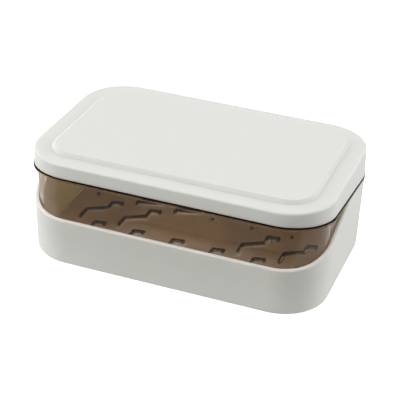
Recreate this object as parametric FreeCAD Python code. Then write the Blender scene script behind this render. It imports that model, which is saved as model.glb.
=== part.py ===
import FreeCAD, Part
import math
import os

# Covered soap dish: an off-white base with a swooping front, a smoked see-through tray that stands in it,
# and an off-white lift-off lid. Millimetres and degrees. X runs along the length, Y from the front to
# the back, Z up, with the origin under the middle of the resting face.

# The rim is the outline in which base, tray collar and lid meet. It slopes down towards the back.
RIM_LENGTH = 140.6
RIM_WIDTH = 90.6
RIM_CORNER = 22.3
RIM_HEIGHT = 42.3
RIM_SLOPE = 5.4

# Base: drafted box whose front is cut down in a swoop.
BASE_WALL = 1.6
BASE_FLOOR = 1.6
BASE_DRAFT = 1.1
BASE_OUTER_ROUND = 1.0
BASE_INNER_ROUND = 2.0
BASE_RIM_OUTER_ROUND = 0.8
BASE_RIM_INNER_ROUND = 0.15
FRONT_HEIGHT = 22.6
SWOOP_FROM_CORNER = 17.3
SWOOP_LEVEL = 12.0
SWOOP_LEAD = 27.0
SWOOP_LEAD_RISE = 5.1

# Tray: thin drafted tub with a collar on the base's rim, an upstand inside the lid and four low feet.
TRAY_CLEARANCE = 0.2
TRAY_WALL = 1.6
TRAY_FLOOR = 2.4
TRAY_DRAFT = 1.2
TRAY_OUTER_ROUND = 3.0
TRAY_INNER_ROUND = 1.8
COLLAR_THICKNESS = 1.6
COLLAR_EDGE_ROUND = 0.3
UPSTAND = 2.5
UPSTAND_STEP = 0.4
FOOT_HEIGHT = 1.0
FOOT_RADIUS = 3.0
FOOT_FROM_END = 22.0
FOOT_FROM_SIDE = 7.3
GATE_RADIUS = 1.2
GATE_HEIGHT = 0.3

# Lid: drafted skirt under a roof with a raised panel.
LID_CLEARANCE = 0.3
LID_WALL = 1.6
LID_ROOF = 1.8
LID_DRAFT = 2.0
LID_FRONT_DEPTH = 6.4
LID_OUTER_ROUND = 0.8
LID_INNER_ROUND = 0.8
LID_SKIRT_ROUND = 0.3
PANEL_INSET = 8.5
PANEL_CORNER = 13.0
PANEL_SLOPE_WIDTH = 1.6
PANEL_RISE = 1.5
PANEL_EDGE_ROUND = 0.4

# Drain slots: one zigzag, repeated in columns and rows over the tray's floor. In the back row only two
# columns have it, in a flatter shape, and the others have a round hole as wide as a slot.
SLOT_WIDTH = 1.6
SLOTS_FROM_END = 14.05
SLOT_COLUMNS = 6
SLOT_FIRST_LEG = 7.4
SLOT_DIAGONAL_RUN = 8.7
SLOT_DIAGONAL_RISE = 5.1
SLOT_SECOND_LEG = 5.7
SLOT_TOP_RUN = 4.8
SLOT_TOP_RISE = 0.9
SLOT_TAIL = 1.4
ROW_PITCH = 20.3
BACK_FIRST_LEG = 2.0
BACK_DIAGONAL_RUN = 11.5
BACK_DIAGONAL_RISE = 3.5
BACK_ROW_SHIFT = 1.4
BACK_ZIGZAG_COLUMNS = (1, 2)
BACK_HOLE_SHIFT = 1.0

# Reach of the cutting tools past the part.
BEYOND = 40.0

# Sizes that follow from those above. The swoop ends short of the back corners, and the columns of slots
# are spread between the two ends.
SWOOP_LENGTH = RIM_WIDTH - RIM_CORNER - SWOOP_FROM_CORNER
SLOT_SPAN = RIM_LENGTH - 2 * SLOTS_FROM_END
SLOT_PITCH = (SLOT_SPAN - SLOT_DIAGONAL_RUN - SLOT_TOP_RUN) / (SLOT_COLUMNS - 1)
TRAY_INSET = BASE_WALL + TRAY_CLEARANCE
TRAY_UNDERSIDE = BASE_FLOOR + FOOT_HEIGHT
TRAY_FLOOR_TOP = TRAY_UNDERSIDE + TRAY_FLOOR
COLLAR_FILLET = TRAY_CLEARANCE
UPSTAND_INSET = TRAY_INSET + UPSTAND_STEP
LID_HOLLOW_INSET = UPSTAND_INSET - LID_CLEARANCE
LEDGE_HEIGHT = RIM_HEIGHT + COLLAR_THICKNESS + LID_FRONT_DEPTH
CUT_TOP = LEDGE_HEIGHT + BEYOND

vector = FreeCAD.Vector


def rim_z(y, offset=0.0):
    """Height of the base's sloping rim at y, or of the plane that lies offset higher."""
    return RIM_HEIGHT + offset - (y + RIM_WIDTH / 2) * math.tan(math.radians(RIM_SLOPE))


def inset_of(point):
    """How far a point lies inside the rim's outline, seen from above."""
    over_x = abs(point.x) - (RIM_LENGTH / 2 - RIM_CORNER)
    over_y = abs(point.y) - (RIM_WIDTH / 2 - RIM_CORNER)
    return RIM_CORNER - math.hypot(max(over_x, 0), max(over_y, 0)) - min(max(over_x, over_y), 0)


def outline(inset, z, corner=None):
    """Rounded rectangle at height z, inset from the rim on every side."""
    half_x = RIM_LENGTH / 2 - inset
    half_y = RIM_WIDTH / 2 - inset
    r = RIM_CORNER - inset if corner is None else corner
    cut = r * (1 - math.sqrt(0.5))
    arcs = []
    for sx, sy in ((1, -1), (1, 1), (-1, 1), (-1, -1)):
        on_long_side = vector(sx * (half_x - r), sy * half_y, z)
        on_short_side = vector(sx * half_x, sy * (half_y - r), z)
        middle = vector(sx * (half_x - cut), sy * (half_y - cut), z)
        ends = [on_long_side, on_short_side]
        if sx == sy:
            ends.reverse()
        arcs.append(Part.Arc(ends[0], middle, ends[1]))
    edges = []
    for arc, following in zip(arcs, arcs[1:] + arcs[:1]):
        edges.append(arc.toShape())
        edges.append(Part.LineSegment(arc.EndPoint, following.StartPoint).toShape())
    return Part.Wire(edges)


def drafted(inset, draft, low, high):
    """Solid between two heights, inset from the rim at the rim's height, with a wall that leans by draft.

    A positive draft makes it narrower towards the bottom."""
    lean = math.tan(math.radians(draft))
    return Part.makeLoft([outline(inset + (RIM_HEIGHT - z) * lean, z) for z in (low, high)], True, True)


def level_edges(shape, z):
    """Edges that lie flat at height z."""
    return [edge for edge in shape.Edges if max(abs(v.Z - z) for v in edge.Vertexes) < 0.01]


def sloping_edges(shape, offset, least_inset, most_inset):
    """Edges on the plane that lies offset above the rim, between two insets."""
    found = []
    for edge in shape.Edges:
        ends = [vertex.Point for vertex in edge.Vertexes]
        on_plane = all(abs(p.z - rim_z(p.y, offset)) < 0.01 for p in ends)
        if on_plane and all(least_inset < inset_of(p) < most_inset for p in ends):
            found.append(edge)
    return found


def drawn_along_x(face):
    """A face in the YZ plane, drawn out past both ends of the part."""
    reach = RIM_LENGTH / 2 + BEYOND
    face.translate(vector(-reach, 0, 0))
    return face.extrude(vector(2 * reach, 0, 0))


def above_rim(offset):
    """Everything above the plane that lies offset above the rim."""
    y = RIM_WIDTH / 2 + BEYOND
    front, back = vector(0, -y, rim_z(-y, offset)), vector(0, y, rim_z(y, offset))
    corners = [front, back, vector(0, y, CUT_TOP), vector(0, -y, CUT_TOP), front]
    return drawn_along_x(Part.Face(Part.makePolygon(corners)))


def tub(inset, draft, bottom, round_radius):
    """Drafted solid up to the top of all cuts, with its bottom edge rounded."""
    solid = drafted(inset, draft, bottom, CUT_TOP)
    return solid.makeFillet(round_radius, level_edges(solid, bottom))


def swoop():
    """What the front cut-out takes away: level along the front, then up both sides in one sweep."""
    front = -RIM_WIDTH / 2
    end_y = front + SWOOP_LENGTH
    end_z = rim_z(end_y)
    start = vector(0, front, FRONT_HEIGHT)
    end = vector(0, end_y, end_z)
    level_pole = vector(0, front + SWOOP_LEVEL, FRONT_HEIGHT)
    lead_pole = vector(0, end_y - SWOOP_LEAD, end_z - SWOOP_LEAD_RISE)
    sweep = Part.BezierCurve()
    sweep.setPoles([start, level_pole, lead_pole, end])
    corners = [end, vector(0, end_y, CUT_TOP), vector(0, front - BEYOND, CUT_TOP),
               vector(0, front - BEYOND, FRONT_HEIGHT), start]
    return drawn_along_x(Part.Face(Part.Wire([sweep.toShape()] + Part.makePolygon(corners).Edges)))


def rim_edges(base, least_inset, most_inset):
    """Edges along the base's rim, swoop and all, between two insets."""
    found = []
    for edge in base.Edges:
        ends = [vertex.Point for vertex in edge.Vertexes]
        high = all(p.z > FRONT_HEIGHT - 0.01 for p in ends)
        if high and all(least_inset - 0.01 < inset_of(p) < most_inset for p in ends):
            found.append(edge)
    return found


def make_base():
    outside = tub(0, BASE_DRAFT, 0, BASE_OUTER_ROUND)
    inside = tub(BASE_WALL, BASE_DRAFT, BASE_FLOOR, BASE_INNER_ROUND)
    base = outside.cut(inside).cut(above_rim(0)).cut(swoop())
    base = base.makeFillet(BASE_RIM_OUTER_ROUND, rim_edges(base, 0, BASE_WALL * 3 / 4))
    return base.makeFillet(BASE_RIM_INNER_ROUND, rim_edges(base, BASE_WALL, 2 * BASE_WALL))


def slot_path(x, y, first_leg, run, rise):
    """Centre line of one zigzag slot, from its front end at x, y."""
    steps = [(0, first_leg), (run, rise), (0, SLOT_SECOND_LEG)]
    steps += [(SLOT_TOP_RUN, SLOT_TOP_RISE), (0, -SLOT_TAIL)]
    points = [vector(x, y, 0)]
    for dx, dy in steps:
        points.append(points[-1] + vector(dx, dy, 0))
    return Part.makePolygon(points)


def drain_slots():
    """All the slots and holes, as solids through the floor. Its middle is left whole round the gate."""
    depth = SLOT_FIRST_LEG + SLOT_DIAGONAL_RISE + SLOT_SECOND_LEG + SLOT_TOP_RISE
    zigzag = (SLOT_FIRST_LEG, SLOT_DIAGONAL_RUN, SLOT_DIAGONAL_RISE)
    back_zigzag = (BACK_FIRST_LEG, BACK_DIAGONAL_RUN, BACK_DIAGONAL_RISE)
    back_y = -depth / 2 + ROW_PITCH + BACK_ROW_SHIFT
    paths = []
    rims = []
    for column in range(SLOT_COLUMNS):
        x = -SLOT_SPAN / 2 + column * SLOT_PITCH
        paths.append(slot_path(x, -depth / 2 - ROW_PITCH, *zigzag))
        if abs(column - (SLOT_COLUMNS - 1) / 2) > 1:
            paths.append(slot_path(x, -depth / 2, *zigzag))
        if column in BACK_ZIGZAG_COLUMNS:
            paths.append(slot_path(x, back_y, *back_zigzag))
        else:
            hole_place = vector(x - BACK_HOLE_SHIFT, back_y + BACK_HOLE_SHIFT, 0)
            rims.append(Part.Wire(Part.makeCircle(SLOT_WIDTH / 2, hole_place)))
    rims += [path.makeOffset2D(SLOT_WIDTH / 2) for path in paths]
    slots = []
    for rim in rims:
        face = Part.Face(rim)
        face.translate(vector(0, 0, TRAY_UNDERSIDE - TRAY_FLOOR))
        slots.append(face.extrude(vector(0, 0, 3 * TRAY_FLOOR)))
    return slots


def tray_feet():
    """Four low feet that stand the tray on the base's floor and leave room for the water."""
    x = RIM_LENGTH / 2 - TRAY_INSET - FOOT_FROM_END
    y = RIM_WIDTH / 2 - TRAY_INSET - FOOT_FROM_SIDE
    height = FOOT_HEIGHT + TRAY_FLOOR / 2
    places = [vector(sx * x, sy * y, BASE_FLOOR) for sx in (-1, 1) for sy in (-1, 1)]
    return [Part.makeCylinder(FOOT_RADIUS, height, place) for place in places]


def make_tray():
    wall = tub(TRAY_INSET, TRAY_DRAFT, TRAY_UNDERSIDE, TRAY_OUTER_ROUND).cut(above_rim(COLLAR_THICKNESS))
    collar = drafted(0, 0, 0, CUT_TOP).common(above_rim(0)).cut(above_rim(COLLAR_THICKNESS))
    upstand = drafted(UPSTAND_INSET, TRAY_DRAFT, RIM_HEIGHT / 2, CUT_TOP).common(above_rim(0))
    upstand = upstand.cut(above_rim(COLLAR_THICKNESS + UPSTAND))
    body = wall.fuse([collar, upstand]).removeSplitter()
    collar_edges = sloping_edges(body, 0, -0.01, 0.01) + sloping_edges(body, COLLAR_THICKNESS, -0.01, 0.01)
    body = body.makeFillet(COLLAR_EDGE_ROUND, collar_edges)
    body = body.makeFillet(COLLAR_FILLET, sloping_edges(body, 0, BASE_WALL, TRAY_INSET + TRAY_CLEARANCE))
    inside = tub(TRAY_INSET + TRAY_WALL, TRAY_DRAFT, TRAY_FLOOR_TOP, TRAY_INNER_ROUND)
    gate_foot = vector(0, 0, TRAY_FLOOR_TOP - TRAY_FLOOR / 2)
    gate = Part.makeCylinder(GATE_RADIUS, TRAY_FLOOR / 2 + GATE_HEIGHT, gate_foot)
    return body.cut(inside).fuse(tray_feet() + [gate]).cut(drain_slots())


def panel_block(lower_by):
    """The raised panel with its sloping edge, or the same shape lower, to hollow it from below."""
    z = LEDGE_HEIGHT - lower_by
    foot = outline(PANEL_INSET, z, PANEL_CORNER)
    crest = outline(PANEL_INSET + PANEL_SLOPE_WIDTH, z + PANEL_RISE, PANEL_CORNER - PANEL_SLOPE_WIDTH)
    return Part.makeLoft([foot, crest], True, True)


def make_lid():
    low = rim_z(RIM_WIDTH / 2 + BEYOND)
    body = drafted(LID_HOLLOW_INSET - LID_WALL, -LID_DRAFT, low, LEDGE_HEIGHT)
    body = body.makeFillet(LID_OUTER_ROUND, level_edges(body, LEDGE_HEIGHT)).fuse(panel_block(0))
    body = body.makeFillet(PANEL_EDGE_ROUND, level_edges(body, LEDGE_HEIGHT + PANEL_RISE))
    under_roof = LEDGE_HEIGHT - LID_ROOF
    hollow = drafted(LID_HOLLOW_INSET, -LID_DRAFT, low, under_roof)
    hollow = hollow.makeFillet(LID_INNER_ROUND, level_edges(hollow, under_roof))
    lid = body.cut(hollow).cut(panel_block(LID_ROOF)).common(above_rim(COLLAR_THICKNESS))
    skirt = sloping_edges(lid, COLLAR_THICKNESS, -LID_WALL / 2, LID_WALL / 2)
    return lid.makeFillet(LID_SKIRT_ROUND, skirt)


def main():
    os.makedirs("parts", exist_ok=True)
    for name, make in (("base", make_base), ("tray", make_tray), ("lid", make_lid)):
        shape = make()
        print(name, "solids", len(shape.Solids), "valid", shape.isValid())
        shape.exportStep("parts/" + name + ".step")


main()
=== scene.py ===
import math

import bpy
from mathutils import Matrix, Vector


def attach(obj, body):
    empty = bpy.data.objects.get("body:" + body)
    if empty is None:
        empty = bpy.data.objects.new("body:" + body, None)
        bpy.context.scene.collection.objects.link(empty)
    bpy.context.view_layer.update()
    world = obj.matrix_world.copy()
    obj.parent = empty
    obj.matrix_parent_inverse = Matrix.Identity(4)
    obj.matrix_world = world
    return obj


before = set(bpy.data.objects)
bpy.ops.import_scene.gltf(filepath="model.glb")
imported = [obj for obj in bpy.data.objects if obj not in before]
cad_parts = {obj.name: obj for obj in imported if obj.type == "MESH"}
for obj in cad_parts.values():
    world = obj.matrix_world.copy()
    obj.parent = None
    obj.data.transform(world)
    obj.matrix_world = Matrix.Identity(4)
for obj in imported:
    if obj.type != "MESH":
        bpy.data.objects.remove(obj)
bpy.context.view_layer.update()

# Covered soap dish: satin off-white base and lid, and a smoked see-through tray between them. Metres.

MM = 0.001

# Camera: the photograph's view, as a turn round the dish.
CAMERA_AIM = Vector((1.24, -3.23, 23.16)) * MM
CAMERA_DISTANCE = 583.08 * MM
CAMERA_AZIMUTH = math.radians(19.952)
CAMERA_ELEVATION = math.radians(29.785)
CAMERA_ROLL = math.radians(2.167)
CAMERA_LENS = 114.484
CAMERA_SENSOR = 36.0

# Angle past which two faces meet in an edge and not in a curve.
EDGE_ANGLE = math.radians(32)

# The tray's floor, between whose two faces the drain slots have their sides, and how upright those are.
TRAY_UNDERSIDE = 2.6 * MM
TRAY_FLOOR_HALF = 1.2 * MM
TRAY_FLOOR_MIDDLE = TRAY_UNDERSIDE + TRAY_FLOOR_HALF
UPRIGHT_WITHIN = 0.1

# How much of the smoked plastic's surface is hazy: all of it a little, and the floor's underside much more.
WALL_HAZE = 0.02
FLOOR_HAZE = 0.60
UNDERSIDE_WITHIN = 0.01 * MM

# The plane of the base's rim: its slope down to the back and its height over the middle of the dish. The
# collar's painted shadow line, the shade under the lid's edge, is a band at this height above that plane.
RIM_SLOPE = math.radians(5.4)
RIM_MIDDLE = 38.018 * MM
COLLAR_SHADOW_HEIGHT = 1.35 * MM
COLLAR_SHADOW_HALF = 0.35 * MM

# The white plastic: its tint and its roughness drift between two values, and light scatters a little in it.
WHITE_TINTS = ((0.775, 0.787, 0.745, 1), (0.800, 0.807, 0.770, 1))
WHITE_ROUGHNESS = (0.40, 0.48)
WHITE_SCATTER = 1.5 * MM
GRAIN_DEPTH = 0.04 * MM

# The smoked plastic: its haze, the near-black painted shade on its slot sides and under the lid's edge, what
# a lamp's light keeps at each surface, and its body.
SMOKED_HAZE = (0.42, 0.375, 0.325, 1)
SMOKED_PAINTED_SHADE = (0.02, 0.012, 0.008, 1)
SMOKED_LETS_IN = (0.82, 0.77, 0.69, 1)
SMOKED_BODY = (0.75, 0.525, 0.25, 1)
SMOKED_DENSITY = 240.0
FLOW_DEPTH = 0.4 * MM

# The floor of the studio, which glows for the camera alone, and the grey card that lies in front of the dish.
FLOOR_RANGE = (-3.0, 3.0)
FLOOR_HEIGHT = -0.1 * MM
FLOOR_COLOR = (0.72, 0.72, 0.72, 1)
FLOOR_GLOW = 0.9
CARD_X_RANGE = (-0.10, 0.20)
CARD_Y_RANGE = (-0.16, -0.07)
CARD_COLOR = (0.25, 0.235, 0.22, 1)

# The lamps: name, place, width and height, power in watts. All but the glow are aimed at the dish.
DISH_MIDDLE = (0, 0, 0.03)
HIGH_LAMPS = (
    ("top_front_light", (0.0, -0.6, 0.95), (1.0, 0.7), 6.15),
    ("top_back_light", (0.0, 0.95, 0.75), (1.0, 0.7), 1.4),
)
LOW_LAMPS = (
    ("back_right_light", (0.95, 0.6, 0.5), (0.7, 0.7), 10.0),
    ("left_light", (-1.15, 0.0, 0.4), (0.7, 0.7), 6.2),
    ("near_left_light", (-0.5, -0.45, 0.3), (0.35, 0.35), 1.08),
    ("back_left_light", (-0.95, 0.6, 0.5), (0.7, 0.7), 4.0),
)
GLOW_PLACE = (-0.012, 0.0, 0.0475)
GLOW_AIM = (-0.012, 0, 0)
GLOW_SIZE = (0.085, 0.07)
GLOW_POWER = 0.065


def node_material(name):
    """An empty node material: (material, its node tree, its output node)."""
    material = bpy.data.materials.new(name)
    material.use_nodes = True
    tree = material.node_tree
    tree.nodes.clear()
    return material, tree, tree.nodes.new("ShaderNodeOutputMaterial")


def add_node(tree, kind, **sockets):
    """A node with its sockets set: a socket's name is written with _ for each space."""
    node = tree.nodes.new(kind)
    for name, value in sockets.items():
        socket = node.inputs[name.replace("_", " ")]
        if isinstance(value, bpy.types.NodeSocket):
            tree.links.new(value, socket)
        else:
            socket.default_value = value
    return node


def object_coordinates(tree):
    return tree.nodes.new("ShaderNodeTexCoord").outputs["Object"]


def white_plastic():
    """Satin off-white moulding: a fine spark-eroded grain, and a gloss that drifts a little over the part."""
    material, tree, output = node_material("white_plastic")
    place = object_coordinates(tree)

    grain = add_node(tree, "ShaderNodeTexNoise", Vector=place, Scale=2600.0, Detail=2.0, Roughness=0.6)
    drift = add_node(tree, "ShaderNodeTexNoise", Vector=place, Scale=28.0, Detail=3.0, Roughness=0.5)

    gloss = add_node(tree, "ShaderNodeMapRange", Value=drift.outputs["Fac"])
    gloss.inputs["From Min"].default_value = 0.3
    gloss.inputs["From Max"].default_value = 0.7
    gloss.inputs["To Min"].default_value, gloss.inputs["To Max"].default_value = WHITE_ROUGHNESS

    tint = add_node(tree, "ShaderNodeMix", Factor=drift.outputs["Fac"])
    tint.data_type = "RGBA"
    tint.inputs["A"].default_value, tint.inputs["B"].default_value = WHITE_TINTS

    bump = add_node(tree, "ShaderNodeBump", Height=grain.outputs["Fac"], Strength=0.10, Distance=GRAIN_DEPTH)
    surface = add_node(tree, "ShaderNodeBsdfPrincipled", Roughness=gloss.outputs["Result"],
                       Normal=bump.outputs["Normal"], IOR=1.49)
    surface.inputs["Subsurface Weight"].default_value = 1.0
    surface.inputs["Subsurface Radius"].default_value = (1.0, 1.0, 0.9)
    surface.inputs["Subsurface Scale"].default_value = WHITE_SCATTER
    tree.links.new(tint.outputs["Result"], surface.inputs["Base Color"])
    tree.links.new(surface.outputs["BSDF"], output.inputs["Surface"])
    return material


def joined(tree, operation, one, other):
    """What a Math node makes of two values."""
    node = add_node(tree, "ShaderNodeMath", Value=one)
    node.operation = operation
    tree.links.new(other, node.inputs[1])
    return node.outputs["Value"]


def within(tree, value, middle, half):
    """1 where the value lies no further than half from middle, 0 elsewhere."""
    node = add_node(tree, "ShaderNodeMath", Value=value)
    node.operation = "COMPARE"
    node.inputs[1].default_value = middle
    node.inputs[2].default_value = half
    return node.outputs["Value"]


def shaded_slot_sides(tree, height):
    """1 on the upright sides of the drain slots, where their shade is painted, 0 elsewhere."""
    geometry = tree.nodes.new("ShaderNodeNewGeometry")
    facing = add_node(tree, "ShaderNodeSeparateXYZ", Vector=geometry.outputs["True Normal"]).outputs["Z"]
    in_floor = within(tree, height, TRAY_FLOOR_MIDDLE, TRAY_FLOOR_HALF)
    return joined(tree, "MULTIPLY", in_floor, within(tree, facing, 0.0, UPRIGHT_WITHIN))


def collar_shadow_band(tree, place):
    """1 in the band along the collar's top edge, where the shade under the lid's edge is painted, 0
    elsewhere.
    """
    across_rim = tree.nodes.new("ShaderNodeVectorMath")
    across_rim.operation = "DOT_PRODUCT"
    tree.links.new(place, across_rim.inputs[0])
    across_rim.inputs[1].default_value = (0, math.tan(RIM_SLOPE), 1)
    return within(tree, across_rim.outputs["Value"], RIM_MIDDLE + COLLAR_SHADOW_HEIGHT, COLLAR_SHADOW_HALF)


def mixed(tree, share, one, other):
    """A mix of two shaders: share is how much of the other."""
    node = add_node(tree, "ShaderNodeMixShader", Fac=share)
    tree.links.new(one, node.inputs[1])
    tree.links.new(other, node.inputs[2])
    return node.outputs["Shader"]


def smoked_plastic():
    """Polished smoked plastic: clear at the surface, with the brown in its body, and painted shade on the
    slot sides and along the collar's top edge.
    """
    material, tree, output = node_material("smoked_plastic")
    place = object_coordinates(tree)

    flow = add_node(tree, "ShaderNodeTexNoise", Vector=place, Scale=70.0, Detail=1.0, Roughness=0.4)
    bump = add_node(tree, "ShaderNodeBump", Height=flow.outputs["Fac"], Strength=0.02, Distance=FLOW_DEPTH)
    clear = add_node(tree, "ShaderNodeBsdfPrincipled", Roughness=0.03, IOR=1.5, Normal=bump.outputs["Normal"])
    clear.inputs["Base Color"].default_value = (1, 1, 1, 1)
    clear.inputs["Transmission Weight"].default_value = 1.0
    haze = add_node(tree, "ShaderNodeBsdfDiffuse", Color=SMOKED_HAZE)
    painted_shade = add_node(tree, "ShaderNodeBsdfDiffuse", Color=SMOKED_PAINTED_SHADE)
    lets_lamps_in = add_node(tree, "ShaderNodeBsdfTransparent", Color=SMOKED_LETS_IN)
    path = tree.nodes.new("ShaderNodeLightPath")

    height = add_node(tree, "ShaderNodeSeparateXYZ", Vector=place).outputs["Z"]
    underside = within(tree, height, TRAY_UNDERSIDE, UNDERSIDE_WITHIN)
    floor_haze = add_node(tree, "ShaderNodeMath", Value=underside)
    floor_haze.operation = "MULTIPLY_ADD"
    floor_haze.inputs[1].default_value = FLOOR_HAZE
    floor_haze.inputs[2].default_value = WALL_HAZE
    look = mixed(tree, floor_haze.outputs["Value"], clear.outputs["BSDF"], haze.outputs["BSDF"])
    # Painted shade: near-black on the slot sides and in a line along the collar's top edge under the lid.
    dark = joined(tree, "MAXIMUM", shaded_slot_sides(tree, height), collar_shadow_band(tree, place))
    look = mixed(tree, dark, look, painted_shade.outputs["BSDF"])
    look = mixed(tree, path.outputs["Is Shadow Ray"], look, lets_lamps_in.outputs["BSDF"])
    tree.links.new(look, output.inputs["Surface"])

    body = add_node(tree, "ShaderNodeVolumeAbsorption", Color=SMOKED_BODY, Density=SMOKED_DENSITY)
    tree.links.new(body.outputs["Volume"], output.inputs["Volume"])
    return material


def dress(node, material):
    """Gives a CAD node its material, and shades its curves smooth up to its edges."""
    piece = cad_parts[node]
    for slot in piece.material_slots:
        slot.material = material
    piece.data.shade_smooth()
    edges = piece.modifiers.new("edges", "EDGE_SPLIT")
    edges.split_angle = EDGE_ANGLE


def looking_ray(tree):
    """1 for a camera, mirror or see-through ray, 0 for all other light."""
    path = tree.nodes.new("ShaderNodeLightPath")
    shiny = joined(tree, "MAXIMUM", path.outputs["Is Camera Ray"], path.outputs["Is Glossy Ray"])
    return joined(tree, "MAXIMUM", shiny, path.outputs["Is Transmission Ray"])


def set_world():
    """A white room to look at, which gives no light of its own."""
    world = bpy.data.worlds.new("white_room")
    bpy.context.scene.world = world
    world.use_nodes = True
    tree = world.node_tree
    tree.nodes.clear()
    output = tree.nodes.new("ShaderNodeOutputWorld")
    unlit = add_node(tree, "ShaderNodeBackground", Color=(0, 0, 0, 1), Strength=0.0)
    white = add_node(tree, "ShaderNodeBackground", Color=(1, 1, 1, 1), Strength=1.0)
    either = mixed(tree, looking_ray(tree), unlit.outputs["Background"], white.outputs["Background"])
    tree.links.new(either, output.inputs["Surface"])


def lay_sheet(name, x_range, y_range, z, material):
    """A flat sheet of the studio, which isn't part of the dish."""
    mesh = bpy.data.meshes.new(name)
    (left, right), (front, back) = x_range, y_range
    corners = [(left, front, z), (right, front, z), (right, back, z), (left, back, z)]
    mesh.from_pydata(corners, [], [(0, 1, 2, 3)])
    mesh.materials.append(material)
    sheet = bpy.data.objects.new(name, mesh)
    bpy.context.scene.collection.objects.link(sheet)
    return sheet


def make_floor():
    """A pale floor that reads as white and keeps only the darkest part of the dish's shadow."""
    material, tree, output = node_material("floor")
    matt = add_node(tree, "ShaderNodeBsdfDiffuse", Color=FLOOR_COLOR)
    glow = add_node(tree, "ShaderNodeEmission", Color=(1, 1, 1, 1), Strength=FLOOR_GLOW)
    dark = add_node(tree, "ShaderNodeEmission", Color=(0, 0, 0, 1), Strength=0.0)
    path = tree.nodes.new("ShaderNodeLightPath")
    shown = mixed(tree, path.outputs["Is Camera Ray"], dark.outputs["Emission"], glow.outputs["Emission"])
    both = tree.nodes.new("ShaderNodeAddShader")
    tree.links.new(matt.outputs["BSDF"], both.inputs[0])
    tree.links.new(shown, both.inputs[1])
    tree.links.new(both.outputs["Shader"], output.inputs["Surface"])
    lay_sheet("floor", FLOOR_RANGE, FLOOR_RANGE, FLOOR_HEIGHT, material)


def lay_grey_card():
    """A grey card in front of the dish, out of the camera's sight, for the tray's front wall to mirror."""
    material, tree, output = node_material("grey_card")
    grey = add_node(tree, "ShaderNodeBsdfDiffuse", Color=CARD_COLOR)
    tree.links.new(grey.outputs["BSDF"], output.inputs["Surface"])
    card = lay_sheet("grey_card", CARD_X_RANGE, CARD_Y_RANGE, 0.0, material)
    card.visible_camera = False
    card.visible_shadow = False


def add_softbox(name, place, size, power, aim=DISH_MIDDLE):
    """A soft lamp that the camera doesn't see."""
    lamp = bpy.data.lights.new(name, "AREA")
    lamp.shape = "RECTANGLE"
    lamp.size, lamp.size_y = size
    lamp.energy = power
    softbox = bpy.data.objects.new(name, lamp)
    softbox.location = place
    softbox.rotation_euler = (Vector(aim) - Vector(place)).to_track_quat("-Z", "Y").to_euler()
    bpy.context.scene.collection.objects.link(softbox)
    softbox.visible_camera = False
    return softbox


def light_studio():
    """Soft light from the sides, from behind and from above in front, and what the thin lid lets through.

    The low lamps stay out of mirror rays, or they burn out the lid's satin top in views from the far side.
    The glow moves with the lid.
    """
    for lamp in HIGH_LAMPS:
        add_softbox(*lamp)
    unmirrored = [add_softbox(*lamp) for lamp in LOW_LAMPS]
    glow = add_softbox("lid_glow", GLOW_PLACE, GLOW_SIZE, GLOW_POWER, GLOW_AIM)
    glow.visible_transmission = False
    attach(glow, "lid")
    for softbox in unmirrored + [glow]:
        softbox.visible_glossy = False


def set_camera():
    lens = bpy.data.cameras.new("camera")
    lens.sensor_width = CAMERA_SENSOR
    lens.lens = CAMERA_LENS
    lens.clip_start = 0.01
    turn = Matrix.Rotation(CAMERA_AZIMUTH, 4, "Z") @ Matrix.Rotation(math.pi / 2 - CAMERA_ELEVATION, 4, "X")
    turn = turn @ Matrix.Rotation(CAMERA_ROLL, 4, "Z")
    camera = bpy.data.objects.new("camera", lens)
    camera.matrix_world = Matrix.Translation(CAMERA_AIM + turn @ Vector((0, 0, CAMERA_DISTANCE))) @ turn
    bpy.context.scene.collection.objects.link(camera)
    bpy.context.scene.camera = camera


white = white_plastic()
dress("base", white)
dress("lid", white)
dress("tray", smoked_plastic())
make_floor()
lay_grey_card()
set_world()
light_studio()
set_camera()
bpy.context.scene.view_settings.view_transform = "Standard"
